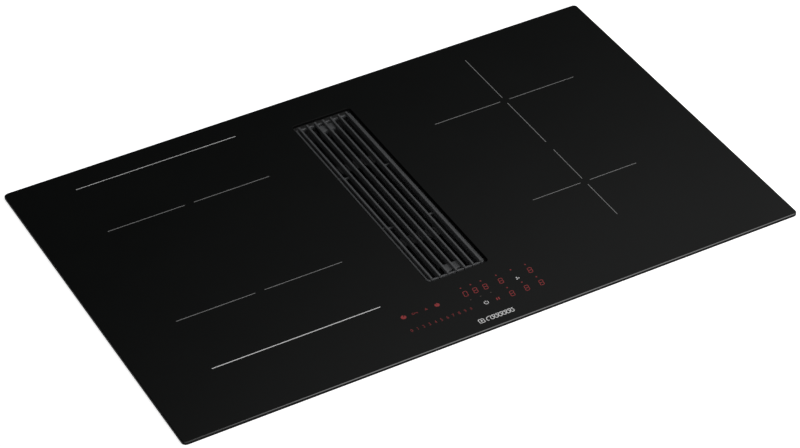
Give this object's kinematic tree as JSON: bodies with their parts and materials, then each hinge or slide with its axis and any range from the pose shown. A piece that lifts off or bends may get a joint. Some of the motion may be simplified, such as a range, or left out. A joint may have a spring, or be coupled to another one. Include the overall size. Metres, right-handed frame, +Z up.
{
  "type": "induction cooktop with downdraft extractor",
  "caption": "Built-in black glass induction cooktop with flexible and round zones, touch control, and a central lift-out extractor grille over a filter, drip tray and blower.",
  "frame": {"origin": "middle of the plane on which the glass's seal rests, which is the top of the worktop", "axes": "+X to the user's right, +Y to the rear, +Z up"},
  "size_m": [0.83, 0.52, 0.2021],
  "materials": {
    "glass_ceramic": "gloss, black",
    "seal_foam": "matt closed-cell foam",
    "galvanised": "galvanised sheet, satin",
    "spring_steel": "satin",
    "screw_steel": "zinc plated",
    "grille_coat": "matt dark grey coating on cast metal",
    "collar_coat": "matt black coating",
    "filter_steel": "matt black coating on folded steel",
    "filter_mesh": "blackened pressed wire mesh",
    "tray_plastic": "fine texture",
    "duct_plastic": "moulded, fine texture",
    "impeller_plastic": "moulded",
    "motor_can": "coated steel can",
    "shaft_steel": "ground",
    "bush_rubber": "matt",
    "litz": "enamelled copper strands",
    "carrier_plastic": "glass-filled moulding",
    "ferrite": "sintered, dull",
    "mica": "pressed sheet",
    "sensor": "satin",
    "aluminium_sheet": "mill finish",
    "board": "solder-masked laminate",
    "heat_sink": "extruded",
    "board_parts": "moulded cases",
    "fan_plastic": "moulded",
    "terminal_plastic": "moulded",
    "control_plastic": "moulded",
    "display": "tinted face",
    "key_spring": "plated",
    "nylon": "natural nylon",
    "cable": "flat ribbon"
  },
  "bodies": {
    "cooktop": {"glass_top": "glass_ceramic", "worktop_seal": "seal_foam", "glass_rails": "galvanised", "panhead_screws": "screw_steel", "left_pan": "galvanised", "right_pan": "galvanised", "pan_bridges": "galvanised", "side_springs": "spring_steel", "cable_inlet": "bush_rubber", "intake_collar": "collar_coat", "well_housing": "duct_plastic", "well_hopper": "duct_plastic", "tray_pocket": "duct_plastic", "intake_channel": "duct_plastic", "scroll_housing": "duct_plastic", "scroll_cover": "duct_plastic", "motor_body": "motor_can", "motor_bracket": "galvanised", "motor_bushes": "bush_rubber", "outlet_duct": "duct_plastic", "coil_micas": "mica", "coil_sensors": "sensor", "plate_springs": "spring_steel", "board_posts": "nylon", "terminal_block": "terminal_plastic", "control_housing": "control_plastic", "control_board": "board", "control_displays": "display", "touch_springs": "key_spring", "control_cable": "cable", "left_front_winding": "litz", "left_front_carrier": "carrier_plastic", "left_front_ferrites": "ferrite", "left_rear_winding": "litz", "left_rear_carrier": "carrier_plastic", "left_rear_ferrites": "ferrite", "right_front_winding": "litz", "right_front_carrier": "carrier_plastic", "right_front_ferrites": "ferrite", "right_rear_winding": "litz", "right_rear_carrier": "carrier_plastic", "right_rear_ferrites": "ferrite", "right_coil_plate": "aluminium_sheet", "right_power_board": "board", "right_heat_sink": "heat_sink", "right_board_parts": "board_parts", "right_fan_housing": "fan_plastic", "left_coil_plate": "aluminium_sheet", "left_power_board": "board", "left_heat_sink": "heat_sink", "left_board_parts": "board_parts", "left_fan_housing": "fan_plastic"},
    "drip_tray": {"drip_tray": "tray_plastic"},
    "grease_filter": {"filter_frame": "filter_steel", "filter_mesh": "filter_mesh"},
    "grille": {"grille": "grille_coat"},
    "blower_wheel": {"impeller": "impeller_plastic", "motor_shaft": "shaft_steel"},
    "left_fan": {"left_fan_rotor": "fan_plastic"},
    "right_fan": {"right_fan_rotor": "fan_plastic"}
  },
  "joints": [
    {"name": "tray_lift", "type": "slide", "parent": "cooktop", "child": "drip_tray", "axis": [0, 0, 1], "range_m": [0, 0.2]},
    {"name": "filter_lift", "type": "slide", "parent": "drip_tray", "child": "grease_filter", "axis": [0, 0, 1], "range_m": [0, 0.06]},
    {"name": "grille_lift", "type": "slide", "parent": "grease_filter", "child": "grille", "axis": [0, 0, 1], "range_m": [0, 0.05]},
    {"name": "blower_spin", "type": "hinge", "parent": "cooktop", "child": "blower_wheel", "pos_m": [0.162, 0.02, -0.1], "axis": [0, 0, 1], "continuous": true},
    {"name": "left_fan_spin", "type": "hinge", "parent": "cooktop", "child": "left_fan", "pos_m": [-0.253, -0.088, -0.051], "axis": [0, 0, 1], "continuous": true},
    {"name": "right_fan_spin", "type": "hinge", "parent": "cooktop", "child": "right_fan", "pos_m": [0.253, -0.088, -0.051], "axis": [0, 0, 1], "continuous": true}
  ]
}
